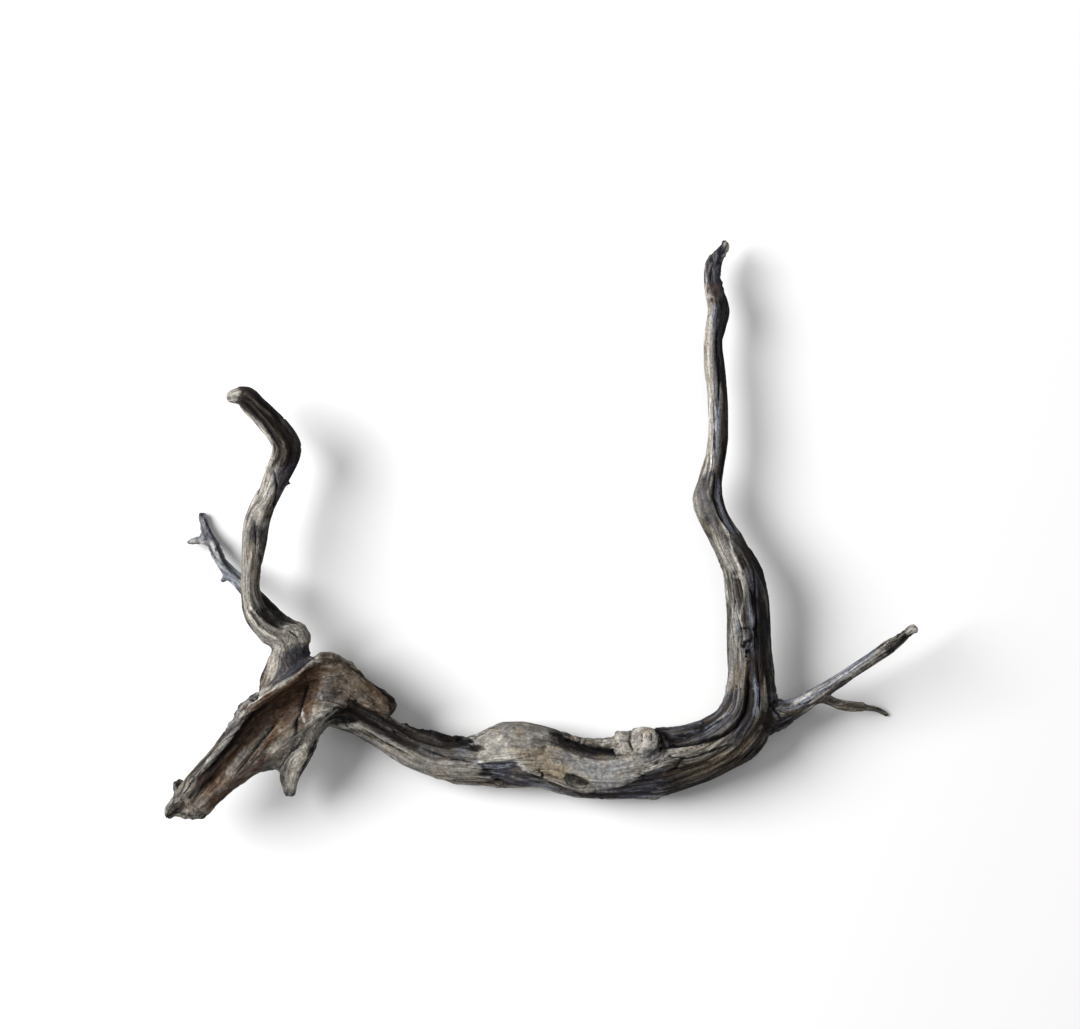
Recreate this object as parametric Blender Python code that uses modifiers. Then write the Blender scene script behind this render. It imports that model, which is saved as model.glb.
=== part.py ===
"""A piece of driftwood: one bare, weathered root with a broken root plate, lying on a flat surface.

Blender 4.5, metres, +Z up. The origin is on that surface, under the middle of the piece.
The whole thing grew as one piece, so it is one solid. Every limb is an oval section carried
along the limb's pith; a voxel remesh grows the limbs together, the crotches are smoothed,
the rotted hollows are cut, and the three places where the piece rests are worn flat.
"""
import bpy
import numpy as np

MM = 0.001

# Sizes of the build, in millimetres.
RING_SPACING = 3.0      # distance between two sections of a limb
RING_POINTS = 28        # corners of a section
VOXEL = 1.3             # the skin's mesh before it is thinned out
SKIN_TRIANGLES = 11000  # triangles that are left
FLOOR_SIZE = (800.0, 700.0, 30.0)  # the block that wears the feet flat
THINNEST = 0.8          # least half width of a section
SOFTENING = 0.6         # how far one pass of smoothing moves a crotch
EVENING = 0.5           # and the skin everywhere

# Irregular growth: how far a section departs from an oval, as shares of its radius.
LOBES = ((2, 0.035), (3, 0.045), (5, 0.025))
LOBE_TURN = 55.0        # length of limb over which the lobes turn round once, in radians

# The limbs. Each station is x, y, z of the pith, then half the section's width seen from above
# and half its depth, all in millimetres.
LIMBS = {
    "trunk": [
        (-172, -138, 38, 15.7, 16.0), (-158, -143, 36, 15.4, 15.0), (-144, -148, 35, 14.2, 14.5),
        (-130, -156, 33, 13.8, 14.0), (-116, -165, 30, 13.8, 14.0), (-102, -174, 28, 13.8, 14.0),
        (-81, -182, 25, 14.2, 14.0), (-59, -186, 24, 16.2, 16.0), (-48, -183, 24, 19.4, 18.0),
        (-36, -180, 24, 23.4, 20.0), (-17, -179, 24, 25.0, 21.5), (4, -182, 22, 23.4, 22.7),
        (25, -189, 22, 22.6, 23.2), (45, -192, 23, 23.0, 23.8), (67, -190, 24, 25.7, 25.0),
        (91, -187, 26, 27.5, 26.0), (116, -181, 29, 24.9, 25.0), (138, -172, 31, 23.7, 24.0),
        (156, -160, 33, 23.3, 22.0), (165, -143, 35, 20.9, 20.0), (166, -125, 37, 18.9, 18.0),
    ],
    "tall": [
        (158, -155, 33, 20.1, 20.0), (165, -139, 36, 19.7, 19.0), (167, -121, 37, 18.5, 17.5),
        (166, -104, 38, 17.3, 16.5), (165, -88, 39, 16.8, 16.0), (164, -66, 41, 16.4, 15.5),
        (162, -48, 42, 15.7, 15.0), (158, -32, 42, 14.5, 14.5), (152, -19, 41, 13.3, 14.0),
        (144, -5, 39, 12.0, 12.0), (136, 9, 37, 11.5, 11.5), (132, 21, 36, 12.0, 11.5),
        (133, 33, 35, 10.4, 10.5), (136, 47, 34, 8.8, 9.0), (139, 62, 34, 8.2, 8.5),
        (140, 84, 33, 8.0, 8.3), (140, 107, 32, 8.0, 8.3), (138, 129, 32, 8.4, 8.5),
        (137, 146, 32, 8.0, 8.3), (139, 160, 31, 8.5, 8.5), (141, 172, 30, 9.2, 9.0),
        (138, 186, 29, 8.5, 8.5), (136, 197, 28, 7.7, 7.8), (138, 210, 27, 7.3, 7.0),
        (143, 218, 26, 5.0, 5.5), (148, 226, 26, 2.8, 3.2),
    ],
    "left": [
        (-194, -89, 47, 11.8, 14.0), (-204, -85, 51, 11.2, 13.0), (-215, -76, 55, 10.5, 12.0),
        (-223, -65, 57, 10.0, 10.5), (-226, -53, 58, 8.7, 9.2), (-226, -40, 58, 8.4, 8.8),
        (-225, -25, 58, 8.7, 8.8), (-223, -9, 57, 10.2, 10.0), (-221, 5, 55, 10.6, 10.5),
        (-217, 17, 53, 9.9, 10.0), (-212, 27, 51, 9.4, 9.8), (-207, 39, 49, 10.0, 10.3),
        (-202, 50, 48, 11.0, 11.0), (-198, 62, 46, 11.8, 12.0), (-203, 74, 48, 10.6, 12.0),
        (-213, 85, 50, 9.6, 11.0), (-223, 95, 52, 9.1, 10.3), (-231, 103, 54, 8.4, 9.0),
        (-240, 103, 55, 5.5, 6.5), (-245, 101, 55, 3.4, 4.2),
    ],
    "elbow_knob": [
        (-201, 60, 46, 8.6, 10.0), (-195, 64, 46, 6.7, 8.0), (-190, 67, 46, 3.9, 5.0),
    ],
    "twig": [
        (-190, -86, 46, 11.0, 12.0), (-202, -78, 45, 9.0, 10.5), (-214, -67, 41, 7.9, 8.8),
        (-225, -54, 36, 6.9, 7.2), (-236, -43, 30, 6.0, 6.2), (-245, -36, 24, 5.5, 5.6),
        (-252, -29, 18, 4.9, 5.0), (-257, -20, 13, 4.8, 4.8), (-262, -10, 9, 4.9, 4.9),
        (-267, -2, 6, 4.3, 4.3), (-269, 6, 4, 3.9, 3.9), (-271, 12, 3, 3.5, 3.5),
    ],
    "twig_fork": [
        (-263, -9, 8, 4.0, 4.0), (-271, -10, 9, 3.7, 3.7), (-277, -11, 10, 2.7, 2.9),
        (-282, -12, 10, 2.1, 2.2),
    ],
    "twig_spur": [
        (-246, -38, 23, 3.6, 3.5), (-251, -41, 21, 2.2, 2.3), (-253, -43, 20, 1.4, 1.6),
    ],
    "collar": [
        (-192, -85, 47, 11.0, 13.0), (-194, -93, 48, 14.1, 15.0), (-199, -105, 46, 16.1, 17.0),
        (-205, -119, 45, 15.7, 17.0), (-211, -133, 44, 11.8, 15.0),
    ],
    "knee": [
        (-198, -85, 49, 9.4, 11.0), (-191, -85, 50, 10.6, 12.0), (-186, -90, 48, 9.0, 12.0),
    ],
    "arm": [
        (-157, -121, 44, 18.8, 21.0), (-174, -128, 44, 25.9, 27.0), (-193, -144, 45, 27.5, 25.0),
        (-213, -160, 47, 24.7, 21.5), (-231, -175, 50, 20.4, 18.0), (-249, -191, 54, 16.8, 15.0),
        (-262, -205, 56, 15.2, 13.0), (-271, -215, 58, 13.3, 10.5), (-274, -218, 58, 9.4, 7.0),
    ],
    "rim": [
        (-161, -101, 60, 4.7, 8.0), (-170, -103, 62, 5.5, 9.0), (-181, -108, 64, 5.8, 9.5),
        (-193, -118, 66, 5.4, 9.5), (-209, -128, 66, 5.4, 9.0), (-221, -137, 66, 5.8, 9.0),
        (-231, -148, 65, 5.8, 8.5), (-241, -161, 65, 5.3, 8.0), (-252, -175, 64, 4.7, 7.5),
        (-264, -188, 64, 4.5, 7.0), (-273, -198, 64, 4.7, 7.0), (-282, -210, 62, 4.7, 7.0),
    ],
    "rim_scab": [
        (-219, -131, 60, 2.7, 5.0), (-227, -137, 60, 3.6, 6.0), (-234, -144, 60, 3.9, 6.5),
        (-237, -151, 60, 3.6, 6.5), (-240, -159, 60, 3.0, 5.0),
    ],
    "end_left": [
        (-276, -207, 59, 7.0, 8.0), (-283, -214, 58, 5.9, 7.0), (-289, -222, 58, 4.7, 6.0),
        (-292, -227, 58, 2.7, 4.0),
    ],
    "end_right": [
        (-261, -206, 55, 10.9, 9.0), (-264, -215, 56, 9.0, 8.0), (-267, -223, 56, 6.2, 6.5),
        (-267, -227, 56, 3.9, 5.0),
    ],
    "end_knob": [
        (-278, -207, 60, 5.5, 6.5), (-282, -201, 60, 4.1, 5.0), (-284, -197, 60, 3.6, 4.2),
    ],
    "lobe": [
        (-174, -113, 46, 15.7, 20.0), (-162, -115, 47, 16.5, 21.0), (-152, -121, 47, 14.5, 19.0),
        (-143, -127, 46, 12.6, 17.0), (-133, -133, 45, 11.0, 15.0), (-124, -138, 44, 9.4, 13.0),
        (-118, -142, 44, 7.5, 11.0), (-115, -145, 44, 5.5, 9.0),
    ],
    "strut": [
        (-152, -134, 52, 7.0, 11.0), (-163, -137, 54, 7.8, 12.0), (-171, -145, 54, 8.2, 13.0),
        (-179, -158, 51, 9.0, 13.0), (-186, -172, 48, 10.6, 13.0), (-194, -186, 44, 10.6, 11.0),
        (-197, -198, 41, 7.7, 8.5), (-197, -206, 39, 5.3, 6.0), (-197, -211, 38, 3.6, 4.3),
    ],
    "right": [
        (175, -149, 34, 15.8, 15.0), (187, -147, 34, 12.6, 12.0), (198, -143, 35, 9.3, 9.0),
        (210, -136, 37, 6.9, 7.2), (222, -128, 40, 6.1, 6.3), (234, -120, 44, 5.3, 5.5),
        (245, -112, 47, 4.8, 5.0), (257, -104, 50, 4.9, 5.0), (267, -97, 53, 5.3, 5.4),
        (275, -91, 56, 5.5, 5.6), (282, -86, 57, 4.5, 4.8), (288, -81, 58, 3.6, 3.9),
        (293, -77, 59, 3.0, 3.3),
    ],
    "right_twig": [
        (218, -132, 38, 5.1, 5.2), (227, -135, 34, 4.6, 4.8), (236, -139, 29, 4.3, 4.4),
        (244, -141, 23, 4.4, 4.4), (253, -142, 17, 4.0, 4.0), (260, -143, 12, 2.7, 2.9),
        (269, -145, 5, 2.3, 2.9), (278, -150, 0, 2.2, 3.2),
    ],
    "stub": [
        (91, -180, 34, 11.8, 12.0), (84, -172, 42, 12.2, 13.0), (80, -167, 47, 11.4, 12.0),
        (78, -165, 51, 9.0, 9.5),
    ],
    "stub_swell": [
        (71, -175, 37, 9.5, 13.0), (84, -169, 39, 11.8, 15.0), (96, -171, 37, 11.0, 15.0),
        (112, -176, 33, 7.9, 12.0),
    ],
    "block": [
        (85, -169, 41, 8.6, 12.0), (71, -169, 41, 9.4, 12.0), (59, -169, 40, 8.7, 11.0),
    ],
    "bark": [
        (-107, -153, 33, 1.9, 2.3), (-103, -159, 32, 3.3, 4.0), (-93, -163, 31, 4.7, 5.0),
        (-84, -165, 30, 5.1, 5.5), (-74, -168, 29, 5.5, 6.0), (-64, -170, 28, 5.5, 6.0),
        (-55, -173, 27, 4.7, 6.0),
    ],
    "thorn": [
        (-201, 35, 48, 2.8, 3.2), (-197, 35, 48, 2.0, 2.4), (-193, 34, 48, 1.0, 1.3),
    ],
    "nub_high": [
        (-212, 46, 48, 3.1, 4.0), (-216, 49, 48, 1.8, 2.3),
    ],
    "nub_low": [
        (-220, -33, 58, 4.7, 6.0), (-217, -33, 58, 2.7, 4.0),
    ],
    "end_fill": [
        (-287, -220, 56, 3.9, 5.0), (-281, -219, 56, 6.2, 6.5), (-275, -221, 56, 6.3, 7.0),
        (-269, -222, 56, 6.3, 7.0), (-264, -221, 56, 5.5, 6.0),
    ],
    "web": [
        (-236, -188, 52, 7.8, 9.0), (-222, -184, 50, 7.0, 9.0), (-210, -182, 48, 7.1, 9.0),
        (-199, -182, 46, 6.3, 8.0),
    ],
    "nub_right": [
        (237, -119, 44, 2.8, 3.2), (239, -123, 44, 1.7, 2.2),
    ],
    "thorn_right": [
        (254, -141, 16, 2.2, 2.6), (257, -138, 17, 1.1, 1.4),
    ],
    "corner": [
        (79, -204, 24, 9.5, 12.0), (91, -211, 23, 4.4, 6.0), (93, -214, 23, 2.1, 3.0),
    ],
}

# The rotted and worn hollows, as cutters in the same form.
HOLLOWS = {
    "groove": [
        (-172, -117, 80, 3.1, 16.0), (-187, -125, 74, 3.5, 16.0), (-201, -139, 73, 3.9, 16.0),
        (-216, -150, 72, 3.6, 14.0), (-230, -168, 72, 3.7, 14.0), (-243, -181, 74, 3.1, 12.0),
    ],
    "trough": [
        (-159, -112, 90, 7.7, 17.0), (-175, -123, 88, 11.6, 27.0), (-192, -136, 86, 14.3, 32.0),
        (-208, -150, 85, 14.3, 30.5), (-224, -166, 86, 12.7, 28.5), (-239, -182, 87, 10.8, 26.0),
        (-254, -198, 87, 10.0, 23.5), (-266, -209, 88, 9.2, 22.0), (-277, -221, 89, 8.5, 20.0),
    ],
    "flute": [
        (-168, -134, 86, 4.6, 16.0), (-180, -144, 81, 6.2, 19.0), (-192, -156, 78, 7.4, 18.0),
        (-204, -165, 78, 7.0, 16.0), (-215, -177, 79, 6.6, 17.0), (-227, -185, 80, 5.8, 16.0),
    ],
    "arch": [
        (-177, -175, 58, 4.7, 9.0), (-170, -164, 56, 7.0, 14.0), (-161, -154, 60, 7.8, 17.0),
        (-148, -151, 64, 7.4, 17.0), (-131, -156, 66, 5.4, 14.0), (-113, -165, 66, 3.1, 9.0),
    ],
    "slot": [
        (7, -163, 42, 2.8, 7.0), (15, -166, 40, 4.7, 11.0), (25, -171, 38, 5.4, 13.5),
        (38, -176, 38, 5.4, 14.0), (50, -178, 38, 5.2, 13.0), (60, -179, 41, 3.5, 9.0),
    ],
    "hole": [
        (20, -194, 44, 2.4, 4.0), (27, -198, 42, 4.3, 8.5), (33, -200, 41, 3.9, 7.5),
        (39, -200, 42, 2.4, 4.0),
    ],
}

# Crotches where two limbs flow into each other: x, y, z and the radius that is smoothed.
CROTCHES = (
    (166, -144, 35, 32),
    (191, -149, 34, 24),
    (229, -138, 40, 12),
    (-195, -88, 49, 24),
    (-208, -120, 50, 22),
    (-160, -125, 62, 18),
    (-175, -150, 66, 16),
    (85, -170, 46, 26),
    (-49, -174, 30, 16),
    (-264, -10, 9, 8),
)
CROTCH_ROUNDS = 40      # passes of smoothing there
SKIN_ROUNDS = 3         # passes of smoothing all over


def start_empty():
    """Removes whatever the startup scene holds."""
    for old in list(bpy.data.objects):
        bpy.data.objects.remove(old)


def new_collection(name):
    collection = bpy.data.collections.new(name)
    bpy.context.scene.collection.children.link(collection)
    return collection


def smooth_run(stations):
    """Cubic curve through the stations, with a slope at each one taken from its two neighbours."""
    knots = np.array(stations, float)
    gaps = np.linalg.norm(np.diff(knots[:, :3], axis=0), axis=1)
    at = np.concatenate([[0.0], np.cumsum(gaps)])
    slopes = np.gradient(knots, at, axis=0)
    count = max(4, int(at[-1] / RING_SPACING) + 1)
    t = np.linspace(0.0, at[-1], count)
    i = np.clip(np.searchsorted(at, t, side="right") - 1, 0, len(at) - 2)
    h = (at[i + 1] - at[i])[:, None]
    s = ((t - at[i])[:, None]) / h
    run = (
        (2 * s**3 - 3 * s**2 + 1) * knots[i]
        + (s**3 - 2 * s**2 + s) * h * slopes[i]
        + (3 * s**2 - 2 * s**3) * knots[i + 1]
        + (s**3 - s**2) * h * slopes[i + 1]
    )
    return run, t


def oval_loft(stations, seed, lobes=LOBES):
    """Points and faces of one limb: ovals square to the pith, with slowly turning lobes, closed by flat ends."""
    run, t = smooth_run(stations)
    pith, radii = run[:, :3], np.maximum(run[:, 3:5], THINNEST)
    along = np.gradient(pith, t, axis=0)
    along /= np.linalg.norm(along, axis=1)[:, None]
    side = np.cross((0.0, 0.0, 1.0), along)
    side /= np.linalg.norm(side, axis=1)[:, None]
    over = np.cross(along, side)
    angle = np.linspace(0.0, 2 * np.pi, RING_POINTS, endpoint=False)
    phase = np.random.default_rng(seed).uniform(0, 2 * np.pi, len(lobes))
    swell = np.ones((len(t), RING_POINTS))
    for (waves, share), start in zip(lobes, phase):
        swell += share * np.cos(waves * angle[None, :] + start + t[:, None] / LOBE_TURN)
    points = (
        pith[:, None, :]
        + side[:, None, :] * (radii[:, 0, None] * swell * np.cos(angle))[:, :, None]
        + over[:, None, :] * (radii[:, 1, None] * swell * np.sin(angle))[:, :, None]
    ).reshape(-1, 3)
    corner = np.arange(RING_POINTS)
    following = np.roll(corner, -1)
    rings = np.arange(len(t) - 1)[:, None] * RING_POINTS
    walls = np.stack(
        [rings + corner, rings + following, rings + RING_POINTS + following, rings + RING_POINTS + corner],
        axis=-1,
    ).reshape(-1, 4)
    last = (len(t) - 1) * RING_POINTS
    faces = walls.tolist() + [corner[::-1].tolist(), (last + corner).tolist()]
    return points * MM, faces


def object_of(name, points, faces, collection):
    mesh = bpy.data.meshes.new(name)
    mesh.from_pydata(points.tolist(), [], faces)
    mesh.validate()
    made = bpy.data.objects.new(name, mesh)
    collection.objects.link(made)
    return made


def joined_lofts(name, lofts, collection, lobes=LOBES):
    """All the lofts of a table as one object. They overlap, and a modifier makes one skin of them."""
    points, faces, first = [], [], 0
    for seed, stations in enumerate(lofts.values()):
        its_points, its_faces = oval_loft(stations, seed, lobes)
        points.append(its_points)
        faces += [[first + corner for corner in face] for face in its_faces]
        first += len(its_points)
    return object_of(name, np.concatenate(points), faces, collection)


def as_helper(made):
    """A cutter or guide is drawn as wire and left out of a render."""
    made.hide_render = True
    made.display_type = "WIRE"
    return made


def frozen(made, name, collection):
    """A new object that holds the evaluated mesh of another, which is removed."""
    bpy.context.view_layer.update()
    graph = bpy.context.evaluated_depsgraph_get()
    mesh = bpy.data.meshes.new_from_object(made.evaluated_get(graph))
    bpy.data.objects.remove(made)
    copy = bpy.data.objects.new(name, mesh)
    collection.objects.link(copy)
    return copy


def skin_over(made):
    """One closed skin over whatever the object holds so far."""
    skin = made.modifiers.new("one_skin", "REMESH")
    skin.mode = "VOXEL"
    skin.voxel_size = VOXEL * MM


def smooth_crotches(wood):
    """Smooths the skin all over a little, and much more where limbs meet."""
    points = np.empty(len(wood.data.vertices) * 3)
    wood.data.vertices.foreach_get("co", points)
    points = points.reshape(-1, 3)
    weight = np.zeros(len(points))
    for *centre, radius in CROTCHES:
        away = np.linalg.norm(points - np.array(centre) * MM, axis=1) / (radius * MM)
        weight = np.maximum(weight, np.clip(1.6 * (1 - away), 0, 1))
    group = wood.vertex_groups.new(name="crotches")
    for index in np.flatnonzero(weight):
        group.add([int(index)], float(weight[index]), "REPLACE")
    soften = wood.modifiers.new("soften_crotches", "SMOOTH")
    soften.factor = SOFTENING
    soften.iterations = CROTCH_ROUNDS
    soften.vertex_group = group.name
    even = wood.modifiers.new("even_skin", "SMOOTH")
    even.factor = EVENING
    even.iterations = SKIN_ROUNDS


def thin_out(wood):
    """Thins the skin out to the number of triangles that is wanted."""
    thin = wood.modifiers.new("thin_out", "DECIMATE")
    thin.show_viewport = False
    bpy.context.view_layer.update()
    graph = bpy.context.evaluated_depsgraph_get()
    full = sum(len(face.vertices) - 2 for face in wood.evaluated_get(graph).data.polygons)
    thin.show_viewport = True
    thin.ratio = SKIN_TRIANGLES / full


def cut_with(wood, cutter, name):
    cut = wood.modifiers.new(name, "BOOLEAN")
    cut.operation = "DIFFERENCE"
    cut.object = cutter
    return cut


def floor_block(collection):
    """The block under the surface that the piece lies on."""
    bpy.ops.mesh.primitive_cube_add(size=1.0, location=(0, 0, -FLOOR_SIZE[2] / 2 * MM))
    block = bpy.context.object
    block.name = "floor_block"
    block.scale = [side * MM for side in FLOOR_SIZE]
    for holder in list(block.users_collection):
        holder.objects.unlink(block)
    collection.objects.link(block)
    return as_helper(block)


def driftwood_material():
    """Bare silver-brown wood."""
    material = bpy.data.materials.new("bare_wood")
    material.use_nodes = True
    surface = material.node_tree.nodes["Principled BSDF"]
    surface.inputs["Base Color"].default_value = (0.23, 0.19, 0.15, 1.0)
    surface.inputs["Roughness"].default_value = 0.82
    surface.inputs["Metallic"].default_value = 0.0
    return material


def main():
    start_empty()
    model = new_collection("driftwood_piece")
    cutters = new_collection("cutters")
    limbs = joined_lofts("limbs", LIMBS, model)
    hollows = as_helper(joined_lofts("hollows", HOLLOWS, cutters, lobes=()))
    skin_over(hollows)
    skin_over(limbs)
    cut_with(limbs, hollows, "cut_hollows")
    skin_over(limbs)
    wood = frozen(limbs, "driftwood", model)
    smooth_crotches(wood)
    thin_out(wood)
    cut_with(wood, floor_block(cutters), "wear_feet_flat")
    wood.data.materials.clear()
    wood.data.materials.append(driftwood_material())


main()
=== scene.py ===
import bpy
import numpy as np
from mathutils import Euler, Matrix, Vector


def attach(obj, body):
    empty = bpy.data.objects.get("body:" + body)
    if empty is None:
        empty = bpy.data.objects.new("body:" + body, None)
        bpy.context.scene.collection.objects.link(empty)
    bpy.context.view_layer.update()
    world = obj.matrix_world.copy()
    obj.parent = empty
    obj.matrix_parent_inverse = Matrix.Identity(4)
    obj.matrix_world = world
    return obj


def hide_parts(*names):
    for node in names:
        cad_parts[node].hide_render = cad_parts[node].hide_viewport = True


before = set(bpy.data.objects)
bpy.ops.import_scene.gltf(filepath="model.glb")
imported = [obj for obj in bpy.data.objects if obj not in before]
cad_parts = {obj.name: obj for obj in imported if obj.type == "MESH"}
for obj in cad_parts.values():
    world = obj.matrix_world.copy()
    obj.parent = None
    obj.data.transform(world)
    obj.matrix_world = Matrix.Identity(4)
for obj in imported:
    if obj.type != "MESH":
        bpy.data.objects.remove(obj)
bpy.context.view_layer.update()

# A piece of driftwood: one bare, weathered root with a hollowed root plate, a bent trunk, two
# branches and fine twigs, lying on a pale floor. The solid that carries it is copied, given a fine
# skin, and that skin gets flutes, fibres, checks and chips that all follow the run of the grain.
# Lengths in the tables are millimetres in the row's frame, seen from above unless a height is given.

MM = 0.001
SEED = 11

# The skin.
FINE_VOXEL = 0.95        # mesh size of the skin before it is carved
SKIN_TRIANGLES = 196000  # triangles left in the finished skin
FACET_ROUNDS = 26        # passes that melt the solid's facets away
FACET_SHRINK = 0.5       # share of the way to the neighbours' middle at each pass
FACET_SWELL = -0.52      # and back out again, so that thin twigs keep their size
MERGE_GAP = 0.01         # corners of the solid that are closer than this are one
PITH_STEP = 3.0          # about how far apart the points along a pith are
FOOT_HEIGHT = 0.3        # skin below this height rests on the floor and isn't carved
FLOOR_GAP = 0.2          # the rest of the carved skin stays above this height

# The sRGB colours of the weathered wood, as seen dry in soft light, and of painted shade and highlight.
PALETTE = {
    "cream": "#c6c0b7",    # bleached, sanded wood; also painted highlight on lit left sides
    "pale": "#98948c",     # bleached wood, a little dirty; also painted highlight on lit sides and crests
    "tan": "#6c6254",      # dry heartwood
    "ochre": "#8d7b60",    # heartwood worn thin by sand
    "grey": "#615f5d",     # silvered wood
    "silver": "#7d838f",   # bluish bloom on long fibres
    "slate": "#2c2e3b",    # water-stained, smooth wood
    "black": "#0f0e11",    # rot and tar; also painted shade in checks, pits, gaps and on shaded sides
    "brown": "#533a26",    # fresh wood inside the hollow
    "umber": "#1f1711",    # damp wood in the hollow; also painted shade in grooves and under overhangs
}

# Relief, in millimetres: broad flutes, narrower ridges, fibres, and checks along the grain.
FLUTE_WIDTH, FLUTE_LENGTH, FLUTE_DEPTH = 9.0, 110.0, 2.6
RIDGE_WIDTH, RIDGE_LENGTH, RIDGE_DEPTH = 4.2, 75.0, 1.3
FIBRE_WIDTH, FIBRE_LENGTH, FIBRE_DEPTH = 2.0, 40.0, 0.5
CHECK_SPACING, CHECK_LENGTH, CHECK_DEPTH = 6.0, 60.0, 1.5
LUMP_HEIGHT = 0.5
WANDER, WANDER_WIDTH, WANDER_LENGTH = 6.0, 34.0, 55.0
GRAIN_HOLD = 2.6         # how firmly a limb holds its own grain where limbs meet
FINGER, TEETH = 5.0, 1.6  # how far the edge of a stain wanders
THIN_LIMB = 8.0          # limbs thinner than this are more strongly streaked
WIDE_EDGE = 4.0          # width of edge from which a stain wanders in full
LATTICE_TURN = np.array(Euler((0.6, 0.9, 0.4)).to_matrix())

# The material's fibres and dark lines, per millimetre across and along the grain. Real fibres are
# finer than this: they are drawn two millimetres wide so that they show.
FIBRE_SCALE = (0.5, 0.5, 0.02)
LINE_SCALE = (0.16, 0.16, 0.009)
GRIT_SCALE = 480.0       # grit and pores, per metre
BUMP_DEPTH = 1.6

# Light and camera. Each lamp has a direction from the origin, its distance and size in metres, and
# its power in watts.
KEY_FROM, KEY_DISTANCE, KEY_SIZE, KEY_POWER = (-0.74, 0.21, 0.66), 5.0, 3.3, 385.0
TOP_FROM, TOP_DISTANCE, TOP_SIZE, TOP_POWER = (0.15, 0.2, 1), 3.6, 2.4, 16.0
SURROUND = 0.2           # strength of the light from all round
FLOOR_SIZE, FLOOR_COLOUR = 6000, "#f4f4f4"
LENS, SENSOR = 100, 36
VIEW_X, VIEW_Y, VIEW_HEIGHT = 0.0, 10.7, 2400.0

# The pith of each limb, most of its points on the solid's own stations: the limb it grows out of,
# then x, y, z and radius along it.
PITHS = {
    "spine": ("", [
        (-274, -218, 58, 11), (-249, -191, 54, 16), (-213, -160, 47, 22), (-180, -140, 42, 24),
        (-150, -147, 36, 17), (-116, -165, 30, 14), (-81, -182, 25, 14), (-40, -181, 24, 20),
        (4, -182, 22, 23), (45, -192, 23, 24), (91, -187, 26, 26), (138, -172, 31, 24),
        (163, -146, 35, 20), (167, -112, 37, 18), (165, -66, 40, 16), (158, -32, 42, 15),
        (144, -5, 39, 12), (133, 30, 35, 10), (139, 62, 34, 9), (140, 107, 32, 8),
        (138, 150, 31, 8), (141, 172, 30, 9), (136, 197, 28, 8), (148, 226, 26, 3),
    ]),
    "left": ("spine", [
        (-198, -130, 44, 17), (-197, -105, 46, 16), (-199, -85, 49, 13), (-215, -76, 55, 11),
        (-226, -53, 58, 9), (-225, -25, 58, 9), (-221, 5, 55, 10), (-207, 39, 49, 10),
        (-199, 62, 47, 12), (-213, 85, 50, 10), (-231, 103, 54, 8), (-245, 101, 55, 4),
    ]),
    "twig": ("left", [
        (-194, -92, 47, 12), (-214, -67, 41, 8), (-236, -43, 30, 6), (-252, -29, 18, 5),
        (-262, -10, 9, 5), (-269, 6, 4, 4), (-271, 12, 3, 3),
    ]),
    "twig_fork": ("twig", [(-261, -10, 9, 4), (-271, -10, 9, 4), (-282, -12, 10, 2)]),
    "lobe": ("spine", [
        (-190, -122, 46, 18), (-152, -121, 47, 17), (-133, -133, 45, 12), (-115, -145, 44, 6),
    ]),
    "spur": ("spine", [
        (-160, -142, 52, 8), (-179, -158, 51, 10), (-194, -186, 44, 10), (-197, -211, 38, 4),
    ]),
    "stub": ("spine", [(93, -190, 30, 14), (84, -172, 42, 13), (78, -165, 51, 9)]),
    "right": ("spine", [
        (158, -152, 34, 15), (187, -147, 34, 12), (210, -136, 37, 7), (234, -120, 44, 5),
        (257, -104, 50, 5), (275, -91, 56, 5), (293, -77, 59, 3),
    ]),
    "right_twig": ("right", [
        (210, -135, 37, 6), (236, -139, 29, 4), (253, -142, 17, 4), (278, -150, 1, 2),
    ]),
}

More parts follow.
